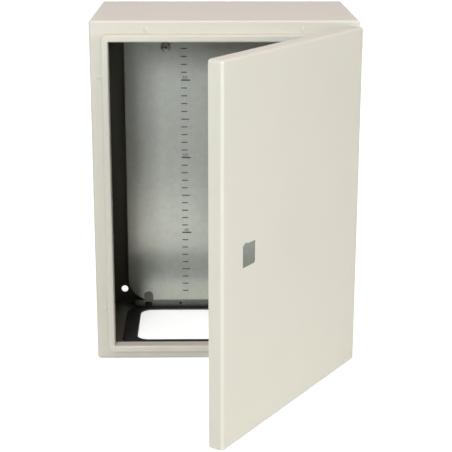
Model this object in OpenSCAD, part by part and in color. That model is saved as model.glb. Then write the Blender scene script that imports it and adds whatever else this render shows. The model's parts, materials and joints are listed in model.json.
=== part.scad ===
// Wall-mounted sheet steel case with a hinged door, a plate for equipment and an open cable opening.
// The origin is the middle of the four wall holes on the rear face. Front faces -Y, up is +Z.
// The door is drawn closed and then swung open by door_open about the hinge pins.

/* [Case] */
// Outer width of the case
body_w = 300; // [260:1:600]
// Outer height of the case
body_h = 400; // [320:1:800]
// Depth of the case from the gutter to the rear face
body_d = 200; // [160:1:300]
// Sheet thickness of the case
body_sheet = 1.5; // [1.2:0.1:2]
// Outside radius of the four long edges
body_corner = 3; // [2.8:0.1:4]
// Outside bend radius where the sides fold into the gutter
gutter_fold = 2.5; // [2.1:0.1:2.7]

/* [Front rim] */
// Width of the gutter between the outside and the lip
gutter_w = 14; // [13:0.5:18]
// Width of the front face of the sealing lip
lip_w = 8; // [7:0.5:12]
// Height of the lip in front of the gutter
lip_height = 16; // [14:0.5:20]
// Depth of the inner return of the lip
lip_return = 14; // [8:0.5:20]
// Outside corner radius of the lip
lip_corner = 6; // [4:0.5:10]
// Outside bend radius along the lip
lip_fold = 2; // [1.6:0.1:2.5]
// Corner radius of the front opening
mouth_corner = 1; // [0.8:0.1:2]

/* [Dimples] */
// Diameter of a pressed dimple
dimple_d = 6; // [4:0.5:7]
// Height of a pressed dimple
dimple_h = 1; // [0.5:0.1:1.5]
// Distance of dimples and hinges from the ends of a side
dimple_inset = 63; // [50:1:90]
// Distance of dimples and hinge screws from the outer edge
dimple_edge = 10; // [9.5:0.1:10.2]

/* [Wall fixing] */
// Diameter of a wall hole
wall_hole_d = 9; // [6:0.5:12]
// Distance of a wall hole from the side of the case
wall_hole_inset_x = 20; // [15:1:40]
// Distance of a wall hole from the top or bottom of the case
wall_hole_inset_z = 19; // [12:1:40]

/* [Cable opening] */
// Distance of the cable opening from the sides of the case
gland_inset_x = 43.5; // [40:0.5:70]
// Distance of the cable opening from the gutter
gland_inset_front = 55; // [45:1:65]
// Distance of the cable opening from the rear face
gland_inset_rear = 34; // [32:1:50]
// Corner radius of the cable opening
gland_corner = 15; // [8:1:20]
// Width of the cable seal at the sides and the front of the cable opening
cable_seal_w = 18; // [14:1:20]
// Width of the cable seal behind the cable opening, in front of the support rail
cable_seal_rear_w = 7; // [5:0.5:7.5]
// Distance of the inside of the cable seal from the edge of the cable opening
cable_seal_setback = 1; // [0.5:0.5:3]
// Corner radius of the cable seal
cable_seal_corner = 25; // [20:1:30]
// Thickness of the cable seal
cable_seal_t = 1.5; // [1:0.1:3]

/* [Mounting plate] */
// Distance of the plate from the sides of the case
plate_side_gap = 27; // [24:1:40]
// Distance of the plate from the top of the case
plate_top_gap = 40; // [30:1:60]
// Thickness of the plate
plate_t = 2; // [1.5:0.1:3]
// Corner radius of the plate at its top
plate_corner = 3; // [1:0.5:8]
// Corner radius of the plate at its bottom, which clears the wall holes
plate_foot_corner = 28; // [10:1:32]
// Length of the stand-offs behind the plate
standoff_len = 21; // [20:0.5:22]
// Diameter of a stand-off
standoff_d = 14; // [12:0.5:18]
// Distance of the plate screws from the side of the plate
plate_screw_inset_x = 52; // [20:1:70]
// Distance of the plate screws from the top of the plate
plate_screw_inset_z = 14; // [10:1:30]
// Thread diameter of the plate screws
plate_screw_d = 6; // [5:0.5:8]

/* [Support rail] */
// Distance of the rail ends from the sides of the plate
rail_inset = 8; // [4:1:30]
// Height of the front of the rail
rail_h = 8.5; // [7:0.5:14]
// Sheet thickness of the rail
rail_sheet = 1.5; // [1.2:0.1:2]
// Width of a hook tab
tab_w = 12; // [10:0.5:16]
// Height of a hook tab above the bottom of the rail
tab_h = 20; // [16:0.5:30]
// Distance of the middle of a tab from the end of the rail
tab_inset = 18; // [10:0.5:30]
// Height of the relief notch under a tab
notch_h = 6; // [2:0.5:6]
// Diameter of the small holes in the rail
rail_hole_d = 3; // [2:0.5:4]
// Distance of the small holes from the ends of the rail
rail_hole_inset = 60; // [40:1:80]

/* [Door] */
// Angle that the door stands open, in degrees
door_open = 57; // [0:1:120]
// Distance of the door from the outline of the case
door_margin = 5; // [4:0.1:5.2]
// Gap between the closed door and the gutter
door_gap = 4.5; // [4:0.1:5]
// Depth of the folded edge of the door
door_depth = 16; // [15.5:0.1:18]
// Sheet thickness of the door
door_sheet = 1.5; // [1.2:0.1:1.6]
// Outside bend radius of the door
door_fold = 3; // [2.5:0.1:3.4]
// Corner radius of the door
door_corner = 3.5; // [3.5:0.1:5]

/* [Lock cut-out] */
// Width of the lock cut-out
lock_w = 24; // [18:0.5:26]
// Height of the lock cut-out
lock_h = 23.5; // [18:0.5:28]
// Distance of the middle of the cut-out from the free edge of the door
lock_edge = 49; // [42:0.5:80]
// Distance of the middle of the cut-out below the middle of the door
lock_drop = 1.5; // [0:0.1:5]
// Corner radius at the lower hinge side of the cut-out
lock_corner = 2.5; // [1:0.1:4]
// Width of the slanted corner at the upper free side of the cut-out
lock_slant = 4.5; // [2:0.5:6]
// Width of the ear beside the slanted corner
lock_ear_w = 5; // [3:0.5:7]
// Height of the ear above the upper edge of the cut-out
lock_ear_h = 1.3; // [0.5:0.1:3]

/* [Seal] */
// Width of the foam seal in the door
seal_w = 9; // [8:0.5:9.5]
// Gap between the seal and the lip with the door closed
seal_gap = 0.3; // [0.2:0.1:0.6]
// Corner radius of the foam seal
seal_corner = 8; // [7:0.5:12]

/* [Hinges] */
// Distance of the hinge pins from the side of the case
hinge_side = 6.5; // [6.3:0.1:6.7]
// Distance of the hinge pins in front of the gutter
hinge_out = 10.5; // [10:0.1:11]
// Diameter of a hinge pin
pin_d = 4; // [3:0.1:4.5]
// Radial clearance of a hinge pin
pin_fit = 0.05; // [0.02:0.01:0.1]
// Diameter of a hinge knuckle
knuckle_d = 7; // [6.5:0.1:7]
// Length of a hinge
hinge_len = 36; // [32:1:44]
// Length of the middle knuckle, which belongs to the door
door_knuckle_len = 16; // [12:1:18]
// Clearance between knuckles, end to end
knuckle_gap = 0.2; // [0.1:0.1:0.5]
// Sheet thickness of the hinge leaves
leaf_t = 2; // [1.5:0.1:2.5]
// Thread diameter of a hinge screw
hinge_screw_d = 4; // [3:0.5:4]

/* [Earth points] */
// Thread diameter of an earth stud
stud_d = 6; // [5:1:8]
// Length of an earth stud
stud_len = 20; // [16:1:30]
// Height of the earth studs above the bottom of the case
stud_height = 45; // [40:1:110]
// Distance of the case stud from the rear face
stud_rear = 90; // [60:1:120]
// Distance of the door stud from the hinge edge of the door
stud_door_edge = 45; // [35:1:90]

/* [Hidden] */
$fn = 64;

// Overshoot of cutting shapes past the faces that they cut
cut = 1;
// Overshoot of the bend cutters, less than the mouth corner
bend_cut = 0.5;
// Radial clearance of a screw or stud in a hole, and of a thread in its nut
hole_fit = 0.3;
thread_fit = 0.05;
// Side clearance around the hinges
hinge_clear = 1;

// Planes of the case
front_y = -body_d;
lip_front = front_y - lip_height;
half_w = body_w / 2;
half_h = body_h / 2;
lip_inset = gutter_w + lip_w;
floor_top = -half_h + body_sheet;
cable_seal_top = floor_top + cable_seal_t;

// Cable opening
gland_w = body_w - 2 * gland_inset_x;
gland_d = body_d - gland_inset_front - gland_inset_rear;
gland_y = -gland_inset_rear - gland_d / 2;

// Mounting plate and its rail
plate_w = body_w - 2 * plate_side_gap;
plate_rear = -body_sheet - standoff_len;
plate_front = plate_rear - plate_t;
plate_bottom = cable_seal_top + rail_h;
plate_top = half_h - plate_top_gap;
plate_h = plate_top - plate_bottom;
plate_screw_x = plate_w / 2 - plate_screw_inset_x;
plate_screw_z = plate_top - plate_screw_inset_z;
rail_w = plate_w - 2 * rail_inset;
tab_x = rail_w / 2 - tab_inset;
notch_w = tab_w - 2 * rail_sheet;
rail_hole_x = rail_w / 2 - rail_hole_inset;
washer_d = 2 * plate_screw_d;
washer_t = plate_screw_d / 5;
screw_head_d = 1.75 * plate_screw_d;
screw_head_h = 0.6 * plate_screw_d;
recess_w = 0.2 * plate_screw_d;
recess_reach = 0.95 * plate_screw_d;
recess_depth = 0.35 * plate_screw_d;

// Door, drawn closed
door_w = body_w - 2 * door_margin;
door_h = body_h - 2 * door_margin;
door_rim = front_y - door_gap;
door_front = door_rim - door_depth;
skin_in = door_front + door_sheet;
lock_x = -door_w / 2 + lock_edge;
hinge_notch_h = hinge_len + 2 * hinge_clear;
seal_front = lip_front - seal_gap;
seal_inset = gutter_w + lip_w / 2 - seal_w / 2;

// Hinges
axis_x = half_w - hinge_side;
axis_y = front_y - hinge_out;
hinge_z = half_h - dimple_inset;
knuckle_r = knuckle_d / 2;
bore_r = pin_d / 2 + pin_fit;
pin_head_h = pin_d / 4;
pin_head_d = knuckle_d - 1;
leaf_x0 = half_w - gutter_w + hinge_clear / 2;
leaf_x1 = half_w - body_corner;
door_leaf_x1 = door_w / 2 - door_fold;
door_leaf_x0 = half_w - seal_inset + hinge_clear;
hinge_notch_y = skin_in + leaf_t;
hinge_screw_x = half_w - dimple_edge;
hinge_head_d = 1.75 * hinge_screw_d;
hinge_head_h = 0.6 * hinge_screw_d;
hinge_nut_d = 1.9 * hinge_screw_d;
hinge_nut_h = 0.8 * hinge_screw_d;

// Earth points
stud_z = -half_h + stud_height;
stud_x = half_w - body_sheet;
stud_door_x = door_w / 2 - stud_door_edge;
stud_nut_d = 1.9 * stud_d;
stud_nut_h = 0.8 * stud_d;
stud_washer_d = 2 * stud_d;
stud_washer_t = 0.2 * stud_d;

// Colours as the photograph shows them
coat_colour = [0.85, 0.84, 0.79];
primer_colour = [0.17, 0.17, 0.16];
zinc_colour = [0.68, 0.69, 0.69];
seal_colour = [0.12, 0.12, 0.12];

// Rectangle with round corners, about the origin
module rounded_rect(w, h, r) {
    square([w - 2 * r, h], center = true);
    square([w, h - 2 * r], center = true);
    for (sx = [-1, 1], sy = [-1, 1])
        translate([sx * (w / 2 - r), sy * (h / 2 - r)])
            circle(r);
}

// Outline seen from the front, extruded from y0 back to y1
module upright(y0, y1) {
    translate([0, y1, 0])
        rotate([90, 0, 0])
            linear_extrude(y1 - y0)
                children();
}

// Section drawn outwards and upwards, swept round a rectangle with round corners
module sweep_round(w, h, corner) {
    for (k = [0 : 3]) {
        reach = k % 2 == 0 ? w / 2 : h / 2;
        side = k % 2 == 0 ? h / 2 : w / 2;
        rotate([0, 0, 90 * k]) {
            translate([reach, side - corner, 0])
                rotate([90, 0, 0])
                    linear_extrude(2 * (side - corner))
                        children();
            translate([reach - corner, side - corner, 0])
                rotate_extrude(angle = 90)
                    translate([corner, 0])
                        children();
        }
    }
}

// What a bend of radius r takes off the front edge of an outline at depth y
module outer_bend(w, h, corner, r, y) {
    translate([0, y, 0])
        rotate([90, 0, 0])
            sweep_round(w, h, corner)
                difference() {
                    translate([-r, -r])
                        square(r + bend_cut);
                    translate([-r, -r])
                        circle(r);
                }
}

// What a bend of radius r takes off the front edge of a hole at depth y
module inner_bend(w, h, corner, r, y) {
    translate([0, y, 0])
        rotate([90, 0, 0])
            sweep_round(w, h, corner)
                difference() {
                    translate([-bend_cut, -r])
                        square(r + bend_cut);
                    translate([r, -r])
                        circle(r);
                }
}

// Block between y0 and y1 whose front edges are bent round with radius r
module bent_block(w, h, corner, r, y0, y1) {
    difference() {
        upright(y0, y1)
            rounded_rect(w, h, corner);
        outer_bend(w, h, corner, r, y0);
    }
}

// Hollow folded box, open at the rear, with an even sheet through its bends
module folded_tray(w, h, corner, r, sheet, y0, y1) {
    difference() {
        bent_block(w, h, corner, r, y0, y1);
        bent_block(w - 2 * sheet, h - 2 * sheet, corner - sheet, r - sheet, y0 + sheet, y1 + cut);
    }
}

// Pressed dimple that stands out to -Y
module dimple() {
    dome_r = (pow(dimple_d / 2, 2) + pow(dimple_h, 2)) / (2 * dimple_h);
    rotate([90, 0, 0])
        rotate_extrude()
            intersection() {
                translate([0, dimple_h - dome_r])
                    circle(dome_r);
                square([dimple_d / 2, dimple_h]);
            }
}

// Dimples of the two hinge places on one side, k quarter turns from the right side
module dimple_pair(k) {
    reach = k % 2 == 0 ? half_w : half_h;
    side = k % 2 == 0 ? half_h : half_w;
    for (s = [-1, 1])
        rotate([0, -90 * k, 0])
            translate([reach - dimple_edge, front_y, s * (side - dimple_inset)])
                dimple();
}

// Children at the upper and the lower hinge
module at_hinges() {
    for (s = [-1, 1])
        translate([0, 0, s * hinge_z])
            children();
}

// Flat outline on the floor, extruded from z0 up to z1
module floor_patch(z0, z1) {
    translate([0, gland_y, z0])
        linear_extrude(z1 - z0)
            children();
}

// Folded rim: gutter, raised lip with its return, and the mouth of the case
module front_rim() {
    mouth_w = body_w - 2 * lip_inset;
    mouth_h = body_h - 2 * lip_inset;
    difference() {
        union() {
            difference() {
                folded_tray(body_w - 2 * gutter_w, body_h - 2 * gutter_w, lip_corner, lip_fold,
                    body_sheet, lip_front, front_y + body_sheet);
                upright(lip_front - cut, front_y)
                    rounded_rect(mouth_w, mouth_h, mouth_corner);
            }
            upright(lip_front, lip_front + lip_return)
                difference() {
                    rounded_rect(mouth_w + 2 * body_sheet, mouth_h + 2 * body_sheet,
                        mouth_corner + body_sheet);
                    rounded_rect(mouth_w, mouth_h, mouth_corner);
                }
        }
        inner_bend(mouth_w, mouth_h, mouth_corner, lip_fold, lip_front);
    }
}

module body_shell() {
    color(coat_colour)
    difference() {
        union() {
            difference() {
                folded_tray(body_w, body_h, body_corner, gutter_fold, body_sheet, front_y, 0);
                upright(front_y - cut, front_y + body_sheet + cut)
                    rounded_rect(body_w - 2 * gutter_w - 2 * body_sheet,
                        body_h - 2 * gutter_w - 2 * body_sheet, lip_corner - body_sheet);
            }
            front_rim();
            for (k = [1 : 3])
                dimple_pair(k);
        }
        floor_patch(-half_h - cut, floor_top + cut)
            rounded_rect(gland_w, gland_d, gland_corner);
        at_hinges()
            translate([hinge_screw_x, front_y - cut, 0])
                rotate([-90, 0, 0])
                    cylinder(h = body_sheet + 2 * cut, r = hinge_screw_d / 2 + hole_fit);
    }
}

module cable_seal() {
    color(seal_colour)
    floor_patch(floor_top, cable_seal_top)
        difference() {
            translate([0, (cable_seal_rear_w - cable_seal_w) / 2])
                rounded_rect(gland_w + 2 * cable_seal_w, gland_d + cable_seal_w + cable_seal_rear_w,
                    cable_seal_corner);
            rounded_rect(gland_w + 2 * cable_seal_setback, gland_d + 2 * cable_seal_setback,
                gland_corner + cable_seal_setback);
        }
}

module rear_panel() {
    color(primer_colour)
    difference() {
        upright(-body_sheet, 0)
            rounded_rect(body_w - 2 * body_sheet, body_h - 2 * body_sheet, body_corner);
        for (sx = [-1, 1], sz = [-1, 1])
            translate([sx * (half_w - wall_hole_inset_x), cut, sz * (half_h - wall_hole_inset_z)])
                rotate([90, 0, 0])
                    cylinder(h = body_sheet + 2 * cut, d = wall_hole_d);
    }
}

// Children at the two plate screws, turned so that +Z points to the front
module at_plate_screws(y) {
    for (s = [-1, 1])
        translate([s * plate_screw_x, y, plate_screw_z])
            rotate([90, 0, 0])
                children();
}

// Front outline of the plate from its foot up
module plate_outline() {
    translate([-plate_w / 2, plate_foot_corner])
        square([plate_w, plate_h - plate_foot_corner - plate_corner]);
    for (s = [-1, 1]) {
        translate([s * (plate_w / 2 - plate_foot_corner), plate_foot_corner])
            circle(plate_foot_corner);
        translate([s * (plate_w / 2 - plate_corner), plate_h - plate_corner])
            circle(plate_corner);
    }
    translate([-plate_w / 2 + plate_foot_corner, 0])
        square([plate_w - 2 * plate_foot_corner, 2 * plate_foot_corner]);
    translate([-plate_w / 2 + plate_corner, plate_h - 2 * plate_corner])
        square([plate_w - 2 * plate_corner, 2 * plate_corner]);
}

module mounting_plate() {
    color(zinc_colour)
    difference() {
        translate([0, 0, plate_bottom])
            upright(plate_front, plate_rear)
                plate_outline();
        at_plate_screws(plate_rear + cut)
            cylinder(h = plate_t + 2 * cut, r = plate_screw_d / 2 + hole_fit);
    }
}

// Front outline of the rail from its bottom up, with a round-topped tab near each end
module rail_outline() {
    difference() {
        union() {
            translate([-rail_w / 2, 0])
                square([rail_w, rail_h]);
            for (s = [-1, 1])
                translate([s * tab_x, 0]) {
                    translate([-tab_w / 2, 0])
                        square([tab_w, tab_h - tab_w / 2]);
                    translate([0, tab_h - tab_w / 2])
                        circle(d = tab_w);
                }
        }
        for (s = [-1, 1]) {
            translate([s * tab_x - notch_w / 2, -cut])
                square([notch_w, notch_h + cut]);
            translate([s * rail_hole_x, rail_h / 2])
                circle(d = rail_hole_d);
        }
    }
}

module plate_support_rail() {
    color(primer_colour) {
        translate([0, 0, cable_seal_top])
            upright(plate_front - rail_sheet, plate_front)
                rail_outline();
        translate([-rail_w / 2, plate_front - rail_sheet, plate_bottom - rail_sheet])
            cube([rail_w, -body_sheet - plate_front + rail_sheet, rail_sheet]);
    }
}

module plate_standoffs() {
    color(zinc_colour)
    at_plate_screws(-body_sheet)
        difference() {
            cylinder(h = standoff_len, d = standoff_d);
            translate([0, 0, body_sheet])
                cylinder(h = standoff_len, r = plate_screw_d / 2 + thread_fit);
        }
}

module plate_washers() {
    color(zinc_colour)
    at_plate_screws(plate_front)
        difference() {
            cylinder(h = washer_t, d = washer_d);
            translate([0, 0, -cut])
                cylinder(h = washer_t + 2 * cut, r = plate_screw_d / 2 + hole_fit);
        }
}

// Pan-head screw along +Z with a cross recess, its head seated at z = 0
module cross_screw(d, head_d, head_h, shank) {
    translate([0, 0, -shank])
        cylinder(h = shank, d = d);
    difference() {
        intersection() {
            cylinder(h = head_h, d = head_d);
            translate([0, 0, head_h - head_d])
                sphere(head_d);
        }
        for (a = [0, 90])
            rotate([0, 0, a])
                translate([-recess_reach / 2, -recess_w / 2, head_h - recess_depth])
                    cube([recess_reach, recess_w, recess_depth + cut]);
    }
}

module plate_screws() {
    color(zinc_colour)
    at_plate_screws(plate_front - washer_t)
        cross_screw(plate_screw_d, screw_head_d, screw_head_h, standoff_len / 2 + plate_t);
}

// Hinge part on the case, as a section extruded along the pin: foot, web and two knuckles
module frame_leaf() {
    end_len = (hinge_len - door_knuckle_len) / 2 - knuckle_gap;
    difference() {
        union() {
            translate([leaf_x0, front_y - leaf_t, -hinge_len / 2])
                cube([leaf_x1 - leaf_x0, leaf_t, hinge_len]);
            for (z = [-hinge_len / 2, hinge_len / 2 - end_len])
                translate([0, 0, z])
                    linear_extrude(end_len) {
                        translate([axis_x, axis_y])
                            circle(knuckle_r);
                        translate([axis_x - knuckle_r, axis_y])
                            square([leaf_t, front_y - axis_y - leaf_t / 2]);
                    }
        }
        translate([axis_x, axis_y, -hinge_len])
            cylinder(h = 2 * hinge_len, r = bore_r);
        translate([hinge_screw_x, front_y + cut, 0])
            rotate([90, 0, 0])
                cylinder(h = leaf_t + 2 * cut, r = hinge_screw_d / 2 + hole_fit);
    }
}

module upper_hinge_frame_leaf() {
    color(zinc_colour)
    translate([0, 0, hinge_z])
        frame_leaf();
}

module lower_hinge_frame_leaf() {
    color(zinc_colour)
    translate([0, 0, -hinge_z])
        frame_leaf();
}

module hinge_screws() {
    color(zinc_colour)
    at_hinges()
        translate([hinge_screw_x, front_y - leaf_t, 0])
            rotate([90, 0, 0]) {
                cylinder(h = hinge_head_h, d = hinge_head_d);
                translate([0, 0, -leaf_t - body_sheet - hinge_nut_h])
                    cylinder(h = leaf_t + body_sheet + hinge_nut_h + cut, d = hinge_screw_d);
            }
}

// Hexagon nut along +Z with its seat at z = 0
module hex_nut(d, across, h) {
    difference() {
        cylinder(h = h, d = across, $fn = 6);
        translate([0, 0, -cut])
            cylinder(h = h + 2 * cut, r = d / 2 + thread_fit);
    }
}

module hinge_nuts() {
    color(zinc_colour)
    at_hinges()
        translate([hinge_screw_x, front_y + body_sheet, 0])
            rotate([-90, 0, 0])
                hex_nut(hinge_screw_d, hinge_nut_d, hinge_nut_h);
}

// Children on the inner face of the right-hand side, +Z pointing into the case
module on_side() {
    translate([stud_x, -stud_rear, stud_z])
        rotate([0, -90, 0])
            children();
}

// Flat washer along +Z with its seat at z = 0
module flat_washer(d, outside, h) {
    difference() {
        cylinder(h = h, d = outside);
        translate([0, 0, -cut])
            cylinder(h = h + 2 * cut, r = d / 2 + hole_fit);
    }
}

module earth_stud() {
    color(zinc_colour)
    on_side()
        cylinder(h = stud_len, d = stud_d);
}

module earth_washer() {
    color(zinc_colour)
    on_side()
        flat_washer(stud_d, stud_washer_d, stud_washer_t);
}

module earth_nut() {
    color(zinc_colour)
    on_side()
        translate([0, 0, stud_washer_t])
            hex_nut(stud_d, stud_nut_d, stud_nut_h);
}

// Swings what is drawn closed to the angle at which the door stands open
module door_pose() {
    translate([axis_x, axis_y, 0])
        rotate([0, 0, door_open])
            translate([-axis_x, -axis_y, 0])
                children();
}

// Hole with a round corner, a slanted corner and a small ear above its upper edge
module lock_outline() {
    left = -lock_w / 2;
    right = lock_w / 2;
    low = -lock_h / 2;
    high = lock_h / 2;
    ear_x = left + lock_slant;
    polygon([
        [left, low],
        [right - lock_corner, low],
        [right, low + lock_corner],
        [right, high],
        [ear_x + lock_ear_w, high],
        [ear_x + lock_ear_w / 2, high + lock_ear_h],
        [ear_x, high + lock_ear_h],
        [left, high - lock_ear_h]
    ]);
    translate([right - lock_corner, low + lock_corner])
        circle(lock_corner);
}

module door_panel() {
    color(coat_colour)
    door_pose()
        difference() {
            folded_tray(door_w, door_h, door_corner, door_fold, door_sheet, door_front, door_rim);
            at_hinges()
                translate([axis_x - knuckle_r, hinge_notch_y, -hinge_notch_h / 2])
                    cube([knuckle_d + cut, door_rim - hinge_notch_y + cut, hinge_notch_h]);
            translate([lock_x, 0, -lock_drop])
                upright(door_front - cut, skin_in + cut)
                    lock_outline();
        }
}

module door_seal() {
    color(seal_colour)
    door_pose()
        upright(skin_in, seal_front)
            difference() {
                rounded_rect(body_w - 2 * seal_inset, body_h - 2 * seal_inset, seal_corner);
                rounded_rect(body_w - 2 * seal_inset - 2 * seal_w,
                    body_h - 2 * seal_inset - 2 * seal_w, seal_corner - seal_w / 2);
            }
}

// Hinge part on the door: flange on the skin, web and the middle knuckle
module door_leaf() {
    difference() {
        union() {
            translate([door_leaf_x0, skin_in, -hinge_len / 2])
                cube([door_leaf_x1 - door_leaf_x0, leaf_t, hinge_len]);
            translate([0, 0, -door_knuckle_len / 2])
                linear_extrude(door_knuckle_len) {
                    translate([axis_x, axis_y])
                        circle(knuckle_r);
                    translate([door_leaf_x1 - leaf_t, skin_in])
                        square([leaf_t, axis_y - skin_in]);
                }
        }
        translate([axis_x, axis_y, -hinge_len])
            cylinder(h = 2 * hinge_len, r = bore_r);
    }
}

module upper_hinge_door_leaf() {
    color(zinc_colour)
    door_pose()
        translate([0, 0, hinge_z])
            door_leaf();
}

module lower_hinge_door_leaf() {
    color(zinc_colour)
    door_pose()
        translate([0, 0, -hinge_z])
            door_leaf();
}

// Headed pin that hangs on the upper knuckle
module hinge_pin() {
    translate([axis_x, axis_y, -hinge_len / 2]) {
        cylinder(h = hinge_len + pin_head_h, d = pin_d);
        translate([0, 0, hinge_len])
            cylinder(h = pin_head_h, d = pin_head_d);
    }
}

module upper_hinge_pin() {
    color(zinc_colour)
    translate([0, 0, hinge_z])
        hinge_pin();
}

module lower_hinge_pin() {
    color(zinc_colour)
    translate([0, 0, -hinge_z])
        hinge_pin();
}

// Children on the inner face of the door skin, +Z pointing into the case
module on_door() {
    door_pose()
        translate([stud_door_x, skin_in, stud_z])
            rotate([-90, 0, 0])
                children();
}

module door_earth_stud() {
    color(zinc_colour)
    on_door()
        cylinder(h = stud_len, d = stud_d);
}

module door_earth_washer() {
    color(zinc_colour)
    on_door()
        flat_washer(stud_d, stud_washer_d, stud_washer_t);
}

module door_earth_nut() {
    color(zinc_colour)
    on_door()
        translate([0, 0, stud_washer_t])
            hex_nut(stud_d, stud_nut_d, stud_nut_h);
}

body_shell();
rear_panel();
mounting_plate();
plate_support_rail();
plate_standoffs();
plate_screws();
plate_washers();
upper_hinge_frame_leaf();
lower_hinge_frame_leaf();
hinge_screws();
hinge_nuts();
earth_stud();
earth_washer();
earth_nut();
cable_seal();
door_panel();
door_seal();
upper_hinge_door_leaf();
lower_hinge_door_leaf();
upper_hinge_pin();
lower_hinge_pin();
door_earth_stud();
door_earth_washer();
door_earth_nut();
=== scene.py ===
import json
import math

import bpy
from mathutils import Matrix, Vector


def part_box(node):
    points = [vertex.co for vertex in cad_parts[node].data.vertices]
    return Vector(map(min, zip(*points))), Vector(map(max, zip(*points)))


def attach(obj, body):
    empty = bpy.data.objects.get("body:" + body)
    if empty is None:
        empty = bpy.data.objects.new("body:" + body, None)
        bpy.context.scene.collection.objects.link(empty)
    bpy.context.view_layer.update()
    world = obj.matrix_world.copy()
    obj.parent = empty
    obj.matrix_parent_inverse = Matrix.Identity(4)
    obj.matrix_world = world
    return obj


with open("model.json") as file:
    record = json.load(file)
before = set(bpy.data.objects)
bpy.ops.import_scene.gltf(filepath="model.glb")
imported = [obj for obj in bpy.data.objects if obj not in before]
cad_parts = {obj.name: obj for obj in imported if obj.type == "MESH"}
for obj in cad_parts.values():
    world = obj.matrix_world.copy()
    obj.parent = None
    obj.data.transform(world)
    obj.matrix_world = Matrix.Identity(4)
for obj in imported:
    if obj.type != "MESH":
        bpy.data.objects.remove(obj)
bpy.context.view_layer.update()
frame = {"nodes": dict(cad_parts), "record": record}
PLATE_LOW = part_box("mounting_plate")[0]
CASE_LOW, CASE_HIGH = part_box("body_shell")
DOOR_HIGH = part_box("door_panel")[1]
HINGE = next(joint for joint in frame["record"]["behaviour"]["joints"] if joint["name"] == "door_swing")

bl_info = {
    "name": "Wall enclosure looks",
    "version": (1, 0, 0),
    "blender": (4, 5, 0),
    "location": "3D View > Sidebar > Enclosure",
    "description": "Finishes, printed scale and studio for a sheet steel wall enclosure",
    "category": "Object",
}

ZINC_NODES = [
    "plate_standoffs", "upper_hinge_frame_leaf", "lower_hinge_frame_leaf", "hinge_screws", "hinge_nuts",
    "earth_stud", "earth_washer", "earth_nut", "upper_hinge_door_leaf", "lower_hinge_door_leaf",
    "upper_hinge_pin", "lower_hinge_pin", "door_earth_stud", "door_earth_washer", "door_earth_nut",
]

# Least and most roughness of the zinc finishes
PLATE_ROUGH = (0.17, 0.23)
SATIN_ROUGH = (0.40, 0.50)
MATT_ROUGH = (0.45, 0.57)

# Marks of the scale from one number to the next, and height of a figure against its type size
MARKS_PER_NUMBER = 10
FIGURE_SHARE = 0.7

# Edge, place and colour of each lamp, whose power is the stage setting of the same name
COOL = (0.96, 1.0, 0.99)
BLUSH = (1.0, 0.83, 0.80)
WARM = (1.0, 0.99, 0.94)
LAMPS = {
    "front": (0.4, (-0.5, -2.3, 0.75), COOL),
    "right": (1.4, (1.4, -2.2, 0.6), COOL),
    "side": (1.4, (2.2, -1.4, 0.3), WARM),
    "top": (1.4, (0.0, -0.65, 2.55), BLUSH),
    "back": (1.4, (-1.8, 1.9, 0.3), COOL),
}
# Point that the lamps face
LAMP_TARGET = Vector((0.0, -0.15, 0.0))

# Half the side of the floor, its gap below the case, and the distances over which its glow grows to white
FLOOR_HALF = 6.0
FLOOR_GAP = 0.0005
GLOW_NEAR = 0.5
GLOW_FAR = 1.3

# Width of the camera's sensor in millimetres
SENSOR_WIDTH = 36.0


# Settings

class CoatSettings(bpy.types.PropertyGroup):
    """Powder coat outside, primer inside, and the folded trays whose faces they cover"""
    coat: bpy.props.FloatVectorProperty(
        name="Coat", description="Colour of the powder coat", subtype="COLOR", size=3,
        default=(0.66, 0.65, 0.58), min=0, max=1)
    primer: bpy.props.FloatVectorProperty(
        name="Primer", description="Colour of the dark primer inside", subtype="COLOR", size=3,
        default=(0.17, 0.167, 0.122), min=0, max=1)
    grain_size: bpy.props.FloatProperty(
        name="Grain", description="Size of the coat's texture", unit="LENGTH", default=0.0012, min=0.0002)
    sheet: bpy.props.FloatProperty(
        name="Sheet", description="Thickness of the sheet", unit="LENGTH", default=0.0015)
    fold: bpy.props.FloatProperty(
        name="Fold", description="Outer radius of the folds", unit="LENGTH", default=0.003)
    case_depth: bpy.props.FloatProperty(
        name="Case depth", description="Depth of the case to its gutter", unit="LENGTH", default=0.2)
    door_width: bpy.props.FloatProperty(
        name="Door width", description="Width of the door", unit="LENGTH", default=0.29)
    door_front: bpy.props.FloatProperty(
        name="Door front", description="Outer face of the closed door", unit="LENGTH", default=-0.2205)
    door_open: bpy.props.FloatProperty(
        name="Door open", description="How far the door stands open", subtype="ANGLE",
        default=math.radians(57))


class PlateSettings(bpy.types.PropertyGroup):
    """Galvanised plate and the zinc of the fasteners"""
    zinc: bpy.props.FloatVectorProperty(
        name="Galvanising", description="Colour of the galvanised plate", subtype="COLOR", size=3,
        default=(0.66, 0.695, 0.65), min=0, max=1)
    # On the support rail this is its dull dark coat; on the plate's washers it is painted shade, a dark
    # ring around the screw heads
    dull_zinc_and_washer_shade: bpy.props.FloatVectorProperty(
        name="Dull zinc", description="Colour of the support rail and the plate's washers", subtype="COLOR",
        size=3, default=(0.18, 0.185, 0.172), min=0, max=1)
    bright_zinc: bpy.props.FloatVectorProperty(
        name="Bright zinc", description="Colour of the plated fasteners", subtype="COLOR", size=3,
        default=(0.50, 0.51, 0.48), min=0, max=1)
    screw_zinc: bpy.props.FloatVectorProperty(
        name="Screw zinc", description="Colour of the plate screws", subtype="COLOR", size=3,
        default=(0.80, 0.81, 0.77), min=0, max=1)
    recess_reach: bpy.props.FloatProperty(
        name="Recess", description="Span of the cross recess in a plate screw", unit="LENGTH",
        default=0.0057, min=0.001)
    spangle_size: bpy.props.FloatProperty(
        name="Spangle", description="Size of the zinc crystals", unit="LENGTH", default=0.006, min=0.001)
    fine_spangle: bpy.props.FloatProperty(
        name="Fine spangle", description="Size of the zinc crystals on small pieces", unit="LENGTH",
        default=0.002, min=0.0005)


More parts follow.
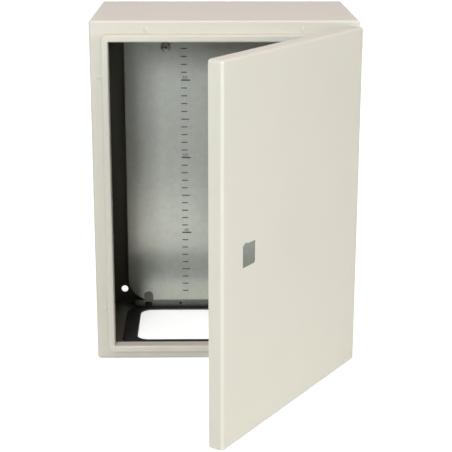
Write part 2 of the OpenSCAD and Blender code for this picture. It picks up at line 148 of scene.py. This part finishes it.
class ScaleSettings(bpy.types.PropertyGroup):
    """Scale printed on the plate"""
    pitch: bpy.props.FloatProperty(
        name="Pitch", description="Distance between marks", unit="LENGTH", default=0.010, min=0.001)
    zero_height: bpy.props.FloatProperty(
        name="Zero", description="Height of the scale's zero above the bottom of the case", unit="LENGTH",
        default=0.0042)
    first_mark: bpy.props.IntProperty(
        name="First mark", description="Number of the lowest mark", default=2, min=0)
    mark_count: bpy.props.IntProperty(
        name="Marks", description="How many marks are printed", default=34, min=1)
    left: bpy.props.FloatProperty(
        name="Left end", description="Distance of the marks from the left side of the case", unit="LENGTH",
        default=0.098)
    short: bpy.props.FloatProperty(
        name="Short", description="Length of a mark", unit="LENGTH", default=0.0075)
    medium: bpy.props.FloatProperty(
        name="Medium", description="Length of every fifth mark", unit="LENGTH", default=0.0098)
    long: bpy.props.FloatProperty(
        name="Long", description="Length of every tenth mark", unit="LENGTH", default=0.0116)
    line: bpy.props.FloatProperty(
        name="Line", description="Thickness of a mark", unit="LENGTH", default=0.0012)
    bold: bpy.props.FloatProperty(
        name="Bold line", description="Thickness of every tenth mark", unit="LENGTH", default=0.0016)
    film: bpy.props.FloatProperty(
        name="Film", description="Thickness of the ink", unit="LENGTH", default=0.00004)
    digit_height: bpy.props.FloatProperty(
        name="Digits", description="Height of the numbers", unit="LENGTH", default=0.0042)
    digit_width: bpy.props.FloatProperty(
        name="Digit width", description="Width of the numbers against plain type", default=0.8, min=0.1)
    digit_inset: bpy.props.FloatProperty(
        name="Digit inset", description="Distance of the numbers from the left end of the marks",
        unit="LENGTH", default=0.0012)
    digit_gap: bpy.props.FloatProperty(
        name="Digit gap", description="Distance of a number above its mark", unit="LENGTH", default=0.0006)
    ink: bpy.props.FloatVectorProperty(
        name="Ink", description="Colour of the print", subtype="COLOR", size=3,
        default=(0.03, 0.032, 0.03), min=0, max=1)


class StageSettings(bpy.types.PropertyGroup):
    """Studio light, floor and camera"""
    ambient: bpy.props.FloatProperty(
        name="Ambient", description="Strength of the light from all round", default=0.02)
    front: bpy.props.FloatProperty(
        name="Front", description="Power of the front light", unit="POWER", default=26.5)
    right: bpy.props.FloatProperty(
        name="Right", description="Power of the light at the right", unit="POWER", default=15.5)
    side: bpy.props.FloatProperty(
        name="Side", description="Power of the light that faces the door", unit="POWER", default=16.6)
    top: bpy.props.FloatProperty(
        name="Top", description="Power of the light overhead", unit="POWER", default=39.0)
    back: bpy.props.FloatProperty(
        name="Back", description="Power of the light behind the case", unit="POWER", default=32.0)
    floor_glow: bpy.props.FloatProperty(
        name="Floor glow", description="Glow that the camera sees on the floor near the case", default=0.66,
        min=0, max=1)
    floor_bounce: bpy.props.FloatProperty(
        name="Floor bounce", description="Light that the floor gives to the case", default=0.02,
        min=0, max=1)
    floor_gloss: bpy.props.FloatProperty(
        name="Floor in gloss", default=0.38, min=0, max=1,
        description="Glow that metal shows of the floor, over the lamps' light on it")
    floor_warmth: bpy.props.FloatVectorProperty(
        name="Floor warmth", description="Colour of the floor's glow in gloss", subtype="COLOR", size=3,
        default=(1.0, 0.98, 0.76), min=0, max=1)
    paper_front: bpy.props.FloatProperty(
        name="Paper front", description="Where the paper begins to fade in gloss, towards the viewer",
        unit="LENGTH", default=-0.42)
    paper_fade: bpy.props.FloatProperty(
        name="Paper fade", description="Depth over which the paper fades in gloss", unit="LENGTH",
        default=0.43, min=0.01)
    room_tone: bpy.props.FloatProperty(
        name="Room", description="Tone that metal shows of the room in front of the paper", default=0.3,
        min=0, max=1)
    lens: bpy.props.FloatProperty(
        name="Lens", description="Focal length of the camera", unit="CAMERA", default=98.90)
    camera_place: bpy.props.FloatVectorProperty(
        name="Camera", description="Place of the camera", subtype="TRANSLATION", unit="LENGTH", size=3,
        default=(-0.02012, -1.57787, 0.36594))
    yaw: bpy.props.FloatProperty(
        name="Yaw", description="Turn of the camera to the right", subtype="ANGLE",
        default=math.radians(0.924))
    pitch: bpy.props.FloatProperty(
        name="Pitch", description="Tilt of the camera downwards", subtype="ANGLE",
        default=math.radians(16.266))
    roll: bpy.props.FloatProperty(
        name="Roll", description="Turn of the camera about its view", subtype="ANGLE",
        default=math.radians(-0.0905))


# Node helpers

def add(tree, kind, **values):
    """Adds a node, sets its properties, and sets its sockets from names that begin with in_."""
    made = tree.nodes.new(kind)
    for name, value in values.items():
        if name.startswith("in_"):
            made.inputs[name[3:].replace("_", " ")].default_value = value
        else:
            setattr(made, name, value)
    return made


def feed(tree, socket, value):
    """Links a socket, or sets it where the value is no link."""
    if isinstance(value, bpy.types.NodeSocket):
        tree.links.new(value, socket)
    else:
        socket.default_value = value


def math_node(tree, operation, first, second=None):
    """A Math node on links or numbers; returns its output."""
    made = add(tree, "ShaderNodeMath", operation=operation)
    feed(tree, made.inputs[0], first)
    if second is not None:
        feed(tree, made.inputs[1], second)
    return made.outputs[0]


def mix_colour(tree, factor, first, second):
    """Mixes two colours by a link; returns the result."""
    made = add(tree, "ShaderNodeMix", data_type="RGBA")
    tree.links.new(factor, made.inputs[0])
    feed(tree, made.inputs[6], first)
    feed(tree, made.inputs[7], second)
    return made.outputs[2]


def map_value(tree, value, low, high):
    """Maps a link that runs from 0 to 1 to low and high."""
    made = add(tree, "ShaderNodeMapRange", in_To_Min=low, in_To_Max=high)
    tree.links.new(value, made.inputs["Value"])
    return made.outputs["Result"]


def ramp(tree, value, start, end, low, high):
    """Maps a link smoothly from start and end to low and high."""
    made = add(tree, "ShaderNodeMapRange", interpolation_type="SMOOTHSTEP", in_From_Min=start,
               in_From_Max=end, in_To_Min=low, in_To_Max=high)
    tree.links.new(value, made.inputs["Value"])
    return made.outputs["Result"]


def object_place(tree):
    """Link to a point's place on its own object."""
    return add(tree, "ShaderNodeTexCoord").outputs["Object"]


def placed(tree, place, kind, **values):
    """Adds a node whose vector is the link place."""
    made = add(tree, kind, **values)
    tree.links.new(place, made.inputs["Vector"])
    return made


def axes(tree, place):
    """Links to the three parts of a place."""
    made = add(tree, "ShaderNodeSeparateXYZ")
    tree.links.new(place, made.inputs[0])
    return made.outputs


def rgba(colour, share=1.0):
    """Colour with its alpha, made lighter or darker by a share."""
    return tuple(min(1.0, c * share) for c in colour) + (1.0,)


def grey(tone):
    """Grey of one tone, with its alpha."""
    return rgba((tone, tone, tone))


def vary(tree, factor, colour, low, high):
    """Varies a colour by a link, from its low share to its high one."""
    return mix_colour(tree, factor, rgba(colour, low), rgba(colour, high))


def shader_group(name, inputs, outputs):
    """An empty shader node group with named sockets: numbers, or vectors where the value is a tuple."""
    tree = bpy.data.node_groups.new(name, "ShaderNodeTree")
    for title, value in inputs.items():
        kind = "NodeSocketVector" if isinstance(value, tuple) else "NodeSocketFloat"
        tree.interface.new_socket(name=title, in_out="INPUT", socket_type=kind).default_value = value
    for title in outputs:
        tree.interface.new_socket(name=title, in_out="OUTPUT", socket_type="NodeSocketFloat")
    return tree, tree.nodes.new("NodeGroupInput").outputs, tree.nodes.new("NodeGroupOutput").inputs


def place_group(tree, group, **values):
    """Places a node group in a material and sets its inputs."""
    made = tree.nodes.new("ShaderNodeGroup")
    made.node_tree = group
    for name, value in values.items():
        made.inputs[name.replace("_", " ")].default_value = value
    return made


# Patterns and masks

def grain_group():
    """Fine pebbled texture of a powder coat, and the slow unevenness of its thickness."""
    found = bpy.data.node_groups.get("coat_grain")
    if found:
        return found
    tree, given, out = shader_group("coat_grain", {"Size": 0.001}, ["Grain", "Cloud"])
    place = object_place(tree)
    fine = placed(tree, place, "ShaderNodeTexNoise", in_Detail=3.0, in_Roughness=0.55)
    slow = placed(tree, place, "ShaderNodeTexNoise", in_Scale=9.0, in_Detail=2.0)
    tree.links.new(math_node(tree, "DIVIDE", 1.0, given["Size"]), fine.inputs["Scale"])
    tree.links.new(fine.outputs["Fac"], out["Grain"])
    tree.links.new(slow.outputs["Fac"], out["Cloud"])
    return tree


def inside_group():
    """Mask that is 1 on the inner faces of a folded sheet tray and 0 on its outer faces.

    The tray is described closed, as a box with rounded folds. Swing is how far it stands open about Pivot.
    """
    found = bpy.data.node_groups.get("inside_tray")
    if found:
        return found
    tray = {"Half width": 0.15, "Half height": 0.2, "Front": -0.2, "Back": 0.0, "Fold": 0.003,
            "Sheet": 0.0015, "Swing": 0.0, "Pivot": (0.0, 0.0, 0.0)}
    tree, given, out = shader_group("inside_tray", tray, ["Inside"])
    closed = placed(tree, object_place(tree), "ShaderNodeVectorRotate", rotation_type="Z_AXIS")
    tree.links.new(given["Pivot"], closed.inputs["Center"])
    tree.links.new(math_node(tree, "MULTIPLY", given["Swing"], -1.0), closed.inputs["Angle"])
    x, y, z = axes(tree, closed.outputs[0])
    reach = [
        math_node(tree, "SUBTRACT", math_node(tree, "ABSOLUTE", x), given["Half width"]),
        math_node(tree, "SUBTRACT", math_node(tree, "ABSOLUTE", z), given["Half height"]),
        math_node(tree, "SUBTRACT", given["Front"], y),
        math_node(tree, "SUBTRACT", y, given["Back"]),
    ]
    total = 0.0
    for past in reach:
        over = math_node(tree, "MAXIMUM", math_node(tree, "ADD", past, given["Fold"]), 0.0)
        total = math_node(tree, "ADD", math_node(tree, "MULTIPLY", over, over), total)
    depth = math_node(tree, "SUBTRACT", given["Fold"], math_node(tree, "SQRT", total))
    half_sheet = math_node(tree, "MULTIPLY", given["Sheet"], 0.5)
    tree.links.new(math_node(tree, "GREATER_THAN", depth, half_sheet), out["Inside"])
    return tree


def spangle_group():
    """Crystal pattern of galvanising, faint rolling lines and fine scuffs."""
    found = bpy.data.node_groups.get("zinc_spangle")
    if found:
        return found
    tree, given, out = shader_group("zinc_spangle", {"Size": 0.006}, ["Crystal", "Rolling", "Scuff"])
    place = object_place(tree)
    cells = placed(tree, place, "ShaderNodeTexVoronoi", feature="F1")
    tree.links.new(math_node(tree, "DIVIDE", 1.0, given["Size"]), cells.inputs["Scale"])
    parts = add(tree, "ShaderNodeSeparateColor")
    tree.links.new(cells.outputs["Color"], parts.inputs[0])
    upright = placed(tree, place, "ShaderNodeMapping", in_Scale=(900.0, 900.0, 6.0))
    rolling = placed(tree, upright.outputs[0], "ShaderNodeTexNoise", in_Scale=1.0, in_Detail=3.0)
    scuff = placed(tree, place, "ShaderNodeTexNoise", in_Scale=26.0, in_Detail=6.0, in_Roughness=0.65)
    tree.links.new(parts.outputs[0], out["Crystal"])
    tree.links.new(rolling.outputs["Fac"], out["Rolling"])
    tree.links.new(scuff.outputs["Fac"], out["Scuff"])
    return tree


def recess_group():
    """Mask that is 1 down in the recesses of a pair of screws that stand either side of the middle."""
    screws = {"Across": 0.1, "Height": 0.1, "Face": 0.0, "Reach": 0.005}
    tree, given, out = shader_group("screw_recess", screws, ["Sunk"])
    x, y, z = axes(tree, object_place(tree))
    across = math_node(tree, "SUBTRACT", math_node(tree, "ABSOLUTE", x), given["Across"])
    along = math_node(tree, "SUBTRACT", z, given["Height"])
    square = math_node(tree, "ADD", math_node(tree, "MULTIPLY", across, across),
                       math_node(tree, "MULTIPLY", along, along))
    # A little over half the span, so that the ends of the cross are in it
    radius = math_node(tree, "MULTIPLY", given["Reach"], 0.51)
    near = math_node(tree, "LESS_THAN", math_node(tree, "SQRT", square), radius)
    below = math_node(tree, "SUBTRACT", y, given["Face"])
    deep = ramp(tree, below, start=0.0004, end=0.0009, low=0.0, high=1.0)
    tree.links.new(math_node(tree, "MULTIPLY", near, deep), out["Sunk"])
    return tree


# Finishes

def new_material(name):
    """A material with one Principled shader; returns the material, its tree and the shader."""
    made = bpy.data.materials.new(name)
    made.use_nodes = True
    return made, made.node_tree, made.node_tree.nodes["Principled BSDF"]


def bump(tree, shader, height, strength, distance):
    """Feeds a height to the shader's normal."""
    made = add(tree, "ShaderNodeBump", in_Strength=strength, in_Distance=distance)
    tree.links.new(height, made.inputs["Height"])
    tree.links.new(made.outputs[0], shader.inputs["Normal"])


def coat_material(name, settings, tray):
    """Powder coat outside and dark primer on the inner faces of the tray."""
    made, tree, shader = new_material(name)
    coat = place_group(tree, grain_group(), Size=settings.grain_size).outputs
    tone = vary(tree, coat["Cloud"], settings.coat, low=0.97, high=1.03)
    shade = map_value(tree, coat["Grain"], low=0.0, high=0.35)
    tone = mix_colour(tree, shade, tone, rgba(settings.coat, share=0.90))
    dark = vary(tree, coat["Cloud"], settings.primer, low=0.85, high=1.15)
    inside = place_group(tree, inside_group(), **tray).outputs["Inside"]
    tree.links.new(mix_colour(tree, inside, tone, dark), shader.inputs["Base Color"])
    tree.links.new(map_value(tree, coat["Grain"], low=0.40, high=0.56), shader.inputs["Roughness"])
    bump(tree, shader, coat["Grain"], strength=0.06, distance=0.0004)
    return made


def zinc_material(name, colour, crystal_size, rough, contrast, metallic=1.0, recess=None):
    """Zinc with crystals, rolling lines and scuffs, and painted shade down in screw recesses."""
    made, tree, shader = new_material(name)
    zinc = place_group(tree, spangle_group(), Size=crystal_size).outputs
    tone = vary(tree, zinc["Crystal"], colour, low=1 - contrast, high=1 + contrast)
    lines = map_value(tree, zinc["Rolling"], low=0.0, high=0.12)
    tone = mix_colour(tree, lines, tone, rgba(colour, share=0.7))
    if recess:
        recess_shade = place_group(tree, recess_group(), **recess).outputs["Sunk"]
        # Painted shade: the colour goes nearly black down in the screw recesses
        tone = mix_colour(tree, recess_shade, tone, rgba(colour, share=0.08))
    tree.links.new(tone, shader.inputs["Base Color"])
    tree.links.new(map_value(tree, zinc["Scuff"], *rough), shader.inputs["Roughness"])
    shader.inputs["Metallic"].default_value = metallic
    bump(tree, shader, zinc["Rolling"], strength=0.03, distance=0.0003)
    return made


def seal_material(name):
    """Closed-cell foam with small pores."""
    made, tree, shader = new_material(name)
    pores = placed(tree, object_place(tree), "ShaderNodeTexVoronoi", in_Scale=900.0).outputs["Distance"]
    pit = grey(0.012)
    skin = rgba((0.035, 0.035, 0.034))
    tree.links.new(mix_colour(tree, pores, pit, skin), shader.inputs["Base Color"])
    shader.inputs["Roughness"].default_value = 0.85
    bump(tree, shader, pores, strength=0.4, distance=0.0006)
    return made


def ink_material(name, colour):
    """Screen-printed ink, a little worn."""
    made, tree, shader = new_material(name)
    worn = placed(tree, object_place(tree), "ShaderNodeTexNoise", in_Scale=700.0, in_Detail=3.0)
    tone = vary(tree, worn.outputs["Fac"], colour, low=0.7, high=1.5)
    tree.links.new(tone, shader.inputs["Base Color"])
    shader.inputs["Roughness"].default_value = 0.6
    return made


def dress(nodes, material):
    """Gives CAD nodes a material."""
    for name in nodes:
        data = frame["nodes"][name].data
        data.materials.clear()
        data.materials.append(material)


# Printed scale

def scale_tree(material):
    """Geometry Nodes tree of the printed marks: a column of bars, every fifth and tenth one longer."""
    tree = bpy.data.node_groups.new("printed_scale", "GeometryNodeTree")
    kinds = {"Marks": "NodeSocketInt", "First mark": "NodeSocketInt", "Start": "NodeSocketVector"}
    sockets = {}
    for title in ("Marks", "First mark", "Pitch", "Short", "Medium", "Long", "Line", "Bold line", "Film",
                  "Start"):
        kind = kinds.get(title, "NodeSocketFloat")
        sockets[title] = tree.interface.new_socket(name=title, in_out="INPUT", socket_type=kind).identifier
    tree.interface.new_socket(name="Geometry", in_out="OUTPUT", socket_type="NodeSocketGeometry")
    given = tree.nodes.new("NodeGroupInput").outputs
    out = tree.nodes.new("NodeGroupOutput")
    link = tree.links.new

    step = tree.nodes.new("ShaderNodeCombineXYZ")
    link(given["Pitch"], step.inputs["Z"])
    column = tree.nodes.new("GeometryNodeMeshLine")
    link(given["Marks"], column.inputs["Count"])
    link(given["Start"], column.inputs["Start Location"])
    link(step.outputs[0], column.inputs["Offset"])

    index = tree.nodes.new("GeometryNodeInputIndex").outputs[0]
    number = math_node(tree, "ADD", index, given["First mark"])

    def every(count):
        """Link that is 1 at each mark whose number the count divides."""
        return math_node(tree, "LESS_THAN", math_node(tree, "MODULO", number, count), 0.5)

    def choose(test, no, yes):
        """Link to one of two numbers."""
        made = tree.nodes.new("GeometryNodeSwitch")
        made.input_type = "FLOAT"
        link(test, made.inputs["Switch"])
        link(no, made.inputs["False"])
        link(yes, made.inputs["True"])
        return made.outputs[0]

    tenth = every(MARKS_PER_NUMBER)
    fifth = every(MARKS_PER_NUMBER / 2)
    length = choose(tenth, choose(fifth, given["Short"], given["Medium"]), given["Long"])
    thick = choose(tenth, given["Line"], given["Bold line"])
    size = tree.nodes.new("ShaderNodeCombineXYZ")
    link(length, size.inputs["X"])
    link(given["Film"], size.inputs["Y"])
    link(thick, size.inputs["Z"])

    # A bar of unit size whose left end is at its point
    bar = tree.nodes.new("GeometryNodeMeshCube")
    bar.inputs["Size"].default_value = (1.0, 1.0, 1.0)
    shifted = tree.nodes.new("GeometryNodeTransform")
    shifted.inputs["Translation"].default_value = (0.5, 0.0, 0.0)
    link(bar.outputs["Mesh"], shifted.inputs["Geometry"])
    marks = tree.nodes.new("GeometryNodeInstanceOnPoints")
    link(column.outputs["Mesh"], marks.inputs["Points"])
    link(shifted.outputs["Geometry"], marks.inputs["Instance"])
    link(size.outputs[0], marks.inputs["Scale"])
    solid = tree.nodes.new("GeometryNodeRealizeInstances")
    link(marks.outputs["Instances"], solid.inputs["Geometry"])
    painted = tree.nodes.new("GeometryNodeSetMaterial")
    painted.inputs["Material"].default_value = material
    link(solid.outputs["Geometry"], painted.inputs["Geometry"])
    link(painted.outputs["Geometry"], out.inputs["Geometry"])
    return tree, sockets


def plain_mesh(obj, name):
    """A new object at the origin with the evaluated mesh of obj, which is removed."""
    graph = bpy.context.evaluated_depsgraph_get()
    evaluated = obj.evaluated_get(graph)
    data = bpy.data.meshes.new_from_object(evaluated, preserve_all_data_layers=True, depsgraph=graph)
    data.transform(obj.matrix_world)
    made = bpy.data.objects.new(name, data)
    bpy.context.scene.collection.objects.link(made)
    data.name = name
    bpy.data.objects.remove(obj)
    return made


# Steps

class ENCLOSURE_OT_case(bpy.types.Operator):
    """Coats the case outside and primes it inside"""
    bl_idname = "enclosure.case"
    bl_label = "Case"

    def execute(self, context):
        settings = context.scene.enclosure_coat
        tray = {
            "Half_width": CASE_HIGH.x, "Half_height": CASE_HIGH.z, "Front": -settings.case_depth,
            "Back": 0.0, "Fold": settings.fold, "Sheet": settings.sheet,
        }
        dress(["body_shell", "rear_panel"], coat_material("case_coat", settings, tray))
        return {"FINISHED"}


class ENCLOSURE_OT_door(bpy.types.Operator):
    """Coats the door outside and primes it inside"""
    bl_idname = "enclosure.door"
    bl_label = "Door"

    def execute(self, context):
        settings = context.scene.enclosure_coat
        tray = {
            "Half_width": settings.door_width / 2, "Half_height": DOOR_HIGH.z, "Front": settings.door_front,
            "Back": 0.0, "Fold": settings.fold, "Sheet": settings.sheet, "Swing": settings.door_open,
            "Pivot": HINGE["pos_m"],
        }
        dress(["door_panel"], coat_material("door_coat", settings, tray))
        return {"FINISHED"}


class ENCLOSURE_OT_rail(bpy.types.Operator):
    """Gives the support rail under the plate its dull dark coat"""
    bl_idname = "enclosure.rail"
    bl_label = "Support rail"

    def execute(self, context):
        settings = context.scene.enclosure_plate
        dull = zinc_material("rail_coat", settings.dull_zinc_and_washer_shade, settings.spangle_size, SATIN_ROUGH,
                             contrast=0.03)
        dress(["plate_support_rail"], dull)
        return {"FINISHED"}


class ENCLOSURE_OT_plate(bpy.types.Operator):
    """Galvanises the mounting plate"""
    bl_idname = "enclosure.plate"
    bl_label = "Mounting plate"

    def execute(self, context):
        settings = context.scene.enclosure_plate
        sheet = zinc_material("galvanised_sheet", settings.zinc, settings.spangle_size, PLATE_ROUGH,
                              contrast=0.04, metallic=0.35)
        dress(["mounting_plate"], sheet)
        return {"FINISHED"}


class ENCLOSURE_OT_fasteners(bpy.types.Operator):
    """Zinc-plates screws, nuts, washers, studs and hinges, and paints shade on the washers and in the screw
    recesses
    """
    bl_idname = "enclosure.fasteners"
    bl_label = "Fasteners and hinges"

    def execute(self, context):
        settings = context.scene.enclosure_plate
        fine = settings.fine_spangle
        bright = zinc_material("bright_zinc", settings.bright_zinc, fine, MATT_ROUGH, contrast=0.06,
                               metallic=0.6)
        dress(ZINC_NODES, bright)
        # Painted shade: the washers take the dark colour of the rail, so that a dark ring shows around each
        # screw head
        dull = zinc_material("dull_washer", settings.dull_zinc_and_washer_shade, fine, SATIN_ROUGH, contrast=0.03)
        dress(["plate_washers"], dull)
        low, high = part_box("plate_screws")
        head = (high.z - low.z) / 2
        recess = {
            "Across": high.x - head, "Height": high.z - head, "Face": low.y, "Reach": settings.recess_reach,
        }
        # The plate screws get painted shade down in their cross recesses
        pale = zinc_material("screw_zinc", settings.screw_zinc, fine, SATIN_ROUGH, contrast=0.03,
                             metallic=0.35, recess=recess)
        dress(["plate_screws"], pale)
        return {"FINISHED"}


class ENCLOSURE_OT_seals(bpy.types.Operator):
    """Gives the two seals their foam"""
    bl_idname = "enclosure.seals"
    bl_label = "Seals"

    def execute(self, context):
        dress(["door_seal", "cable_seal"], seal_material("seal_foam"))
        return {"FINISHED"}


class ENCLOSURE_OT_scale(bpy.types.Operator):
    """Prints the scale and its numbers on the mounting plate"""
    bl_idname = "enclosure.scale"
    bl_label = "Printed scale"

    def execute(self, context):
        settings = context.scene.enclosure_scale
        surface = PLATE_LOW.y - settings.film
        left = CASE_LOW.x + settings.left
        zero = CASE_LOW.z + settings.zero_height
        ink = ink_material("scale_ink", settings.ink)

        tree, sockets = scale_tree(ink)
        column = bpy.data.objects.new("scale_column", bpy.data.meshes.new("scale_column"))
        context.scene.collection.objects.link(column)
        modifier = column.modifiers.new("marks", "NODES")
        modifier.node_group = tree
        given = {
            "Marks": settings.mark_count, "First mark": settings.first_mark, "Pitch": settings.pitch,
            "Short": settings.short, "Medium": settings.medium, "Long": settings.long,
            "Line": settings.line, "Bold line": settings.bold, "Film": settings.film,
            "Start": (left, surface, zero + settings.first_mark * settings.pitch),
        }
        for title, value in given.items():
            modifier[sockets[title]] = value
        context.view_layer.update()
        marks = plain_mesh(column, "scale_marks")
        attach(marks, "case")

        upright = Matrix.Rotation(math.radians(90), 4, "X")
        narrow = Matrix.Diagonal((settings.digit_width, 1.0, 1.0, 1.0))
        above_mark = settings.bold / 2 + settings.digit_gap
        for hundreds in (1, 2, 3):
            curve = bpy.data.curves.new(f"scale_number_{hundreds}", "FONT")
            curve.body = f"{hundreds}00"
            curve.size = settings.digit_height / FIGURE_SHARE
            curve.resolution_u = 3
            text = bpy.data.objects.new(curve.name, curve)
            context.scene.collection.objects.link(text)
            mark_height = zero + hundreds * MARKS_PER_NUMBER * settings.pitch
            place = Matrix.Translation((left + settings.digit_inset, surface, mark_height + above_mark))
            text.matrix_world = place @ upright @ narrow
            context.view_layer.update()
            number = plain_mesh(text, f"scale_digits_{hundreds}00")
            number.data.materials.clear()
            number.data.materials.append(ink)
            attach(number, "case")
        return {"FINISHED"}


class ENCLOSURE_OT_stage(bpy.types.Operator):
    """Sets up the floor, the studio light and the camera"""
    bl_idname = "enclosure.stage"
    bl_label = "Studio"

    def execute(self, context):
        settings = context.scene.enclosure_stage
        scene = context.scene
        scene.view_settings.view_transform = "Standard"
        self.floor(scene, settings)
        self.world(scene, settings)
        for name, (edge, place, colour) in LAMPS.items():
            self.lamp(scene, f"{name}_light", getattr(settings, name), edge, place, colour)
        self.camera(scene, settings)
        return {"FINISHED"}

    def floor(self, scene, settings):
        """Wide flat floor just under the case."""
        half = FLOOR_HALF
        level = CASE_LOW.z - FLOOR_GAP
        corners = [(-half, -half, level), (half, -half, level), (half, half, level), (-half, half, level)]
        data = bpy.data.meshes.new("studio_floor")
        data.from_pydata(corners, [], [(0, 1, 2, 3)])
        made = bpy.data.objects.new("studio_floor", data)
        scene.collection.objects.link(made)
        data.materials.append(self.paper(settings))

    def paper(self, settings):
        """White paper that glows where it is seen, and keeps the shadow of the case.

        Metal shows it as a warm sheet that ends in front of the case, where a dimmer room begins.
        """
        made, tree, shader = new_material("studio_paper")
        shader.inputs["Roughness"].default_value = 0.9
        shader.inputs["Specular IOR Level"].default_value = 0.0
        place = object_place(tree)
        path = tree.nodes.new("ShaderNodeLightPath").outputs
        gloss = path["Is Glossy Ray"]
        straight = math_node(tree, "MAXIMUM", path["Is Camera Ray"], path["Is Transmission Ray"])

        fibre = placed(tree, place, "ShaderNodeTexNoise", in_Scale=40.0, in_Detail=4.0)
        white = mix_colour(tree, fibre.outputs["Fac"], grey(0.89), grey(0.91))
        paper_end = settings.paper_front - settings.paper_fade
        room = ramp(tree, axes(tree, place)["Y"], paper_end, settings.paper_front, low=1.0, high=0.0)
        dim = math_node(tree, "MULTIPLY", gloss, room)
        tone = mix_colour(tree, dim, white, grey(settings.room_tone))
        tree.links.new(tone, shader.inputs["Base Color"])

        away = add(tree, "ShaderNodeVectorMath", operation="LENGTH")
        tree.links.new(place, away.inputs[0])
        fade = ramp(tree, away.outputs["Value"], GLOW_NEAR, GLOW_FAR, low=settings.floor_glow, high=1.0)
        seen = math_node(tree, "MULTIPLY", straight, fade)
        sheet = math_node(tree, "SUBTRACT", gloss, dim)
        shine = math_node(tree, "MULTIPLY", sheet, settings.floor_gloss)
        glow = math_node(tree, "MAXIMUM", math_node(tree, "MAXIMUM", shine, seen), settings.floor_bounce)
        tint = mix_colour(tree, gloss, grey(1.0), rgba(settings.floor_warmth))
        tree.links.new(tint, shader.inputs["Emission Color"])
        tree.links.new(glow, shader.inputs["Emission Strength"])
        return made

    def world(self, scene, settings):
        """Background that is white where it is seen, straight, in gloss or through glass, and else dim."""
        world = bpy.data.worlds.new("studio")
        world.use_nodes = True
        tree = world.node_tree
        back = tree.nodes["Background"]
        back.inputs["Color"].default_value = grey(1.0)
        path = tree.nodes.new("ShaderNodeLightPath").outputs
        seen = math_node(tree, "MAXIMUM", path["Is Camera Ray"], path["Is Glossy Ray"])
        seen = math_node(tree, "MAXIMUM", seen, path["Is Transmission Ray"])
        tree.links.new(map_value(tree, seen, low=settings.ambient, high=1.0), back.inputs["Strength"])
        scene.world = world

    def lamp(self, scene, name, power, edge, place, colour):
        """Soft square lamp that faces the case."""
        data = bpy.data.lights.new(name, "AREA")
        data.energy = power
        data.color = colour
        data.size = edge
        made = bpy.data.objects.new(name, data)
        scene.collection.objects.link(made)
        made.location = place
        made.rotation_euler = (LAMP_TARGET - Vector(place)).to_track_quat("-Z", "Y").to_euler()

    def camera(self, scene, settings):
        """Camera at the angle of the photograph."""
        data = bpy.data.cameras.new("camera")
        data.sensor_width = SENSOR_WIDTH
        data.sensor_fit = "AUTO"
        data.lens = settings.lens
        made = bpy.data.objects.new("camera", data)
        scene.collection.objects.link(made)
        yaw, pitch, roll = settings.yaw, settings.pitch, settings.roll
        level = math.cos(pitch)
        ahead = Vector((math.sin(yaw) * level, math.cos(yaw) * level, -math.sin(pitch)))
        right = Vector((math.cos(yaw), -math.sin(yaw), 0.0))
        down = ahead.cross(right)
        turned_right = right * math.cos(roll) + down * math.sin(roll)
        turned_down = down * math.cos(roll) - right * math.sin(roll)
        turn = Matrix((turned_right, -turned_down, -ahead)).transposed().to_4x4()
        made.matrix_world = Matrix.Translation(settings.camera_place) @ turn
        scene.camera = made


class ENCLOSURE_PT_looks(bpy.types.Panel):
    """Lists the steps that dress the enclosure"""
    bl_idname = "ENCLOSURE_PT_looks"
    bl_label = "Enclosure"
    bl_space_type = "VIEW_3D"
    bl_region_type = "UI"
    bl_category = "Enclosure"

    def draw(self, context):
        for step in STEPS:
            self.layout.operator(step.bl_idname)


STEPS = [
    ENCLOSURE_OT_case, ENCLOSURE_OT_door, ENCLOSURE_OT_rail, ENCLOSURE_OT_plate, ENCLOSURE_OT_fasteners,
    ENCLOSURE_OT_seals, ENCLOSURE_OT_scale, ENCLOSURE_OT_stage,
]
SETTINGS = {
    "enclosure_coat": CoatSettings, "enclosure_plate": PlateSettings, "enclosure_scale": ScaleSettings,
    "enclosure_stage": StageSettings,
}


def register():
    for kind in [*SETTINGS.values(), *STEPS, ENCLOSURE_PT_looks]:
        bpy.utils.register_class(kind)
    for name, kind in SETTINGS.items():
        setattr(bpy.types.Scene, name, bpy.props.PointerProperty(type=kind))


def unregister():
    for name in SETTINGS:
        delattr(bpy.types.Scene, name)
    for kind in reversed([*SETTINGS.values(), *STEPS, ENCLOSURE_PT_looks]):
        bpy.utils.unregister_class(kind)


def main():
    register()
    bpy.ops.enclosure.case()
    bpy.ops.enclosure.door()
    bpy.ops.enclosure.rail()
    bpy.ops.enclosure.plate()
    bpy.ops.enclosure.fasteners()
    bpy.ops.enclosure.seals()
    bpy.ops.enclosure.scale()
    bpy.ops.enclosure.stage()


if __name__ == "__main__":
    main()
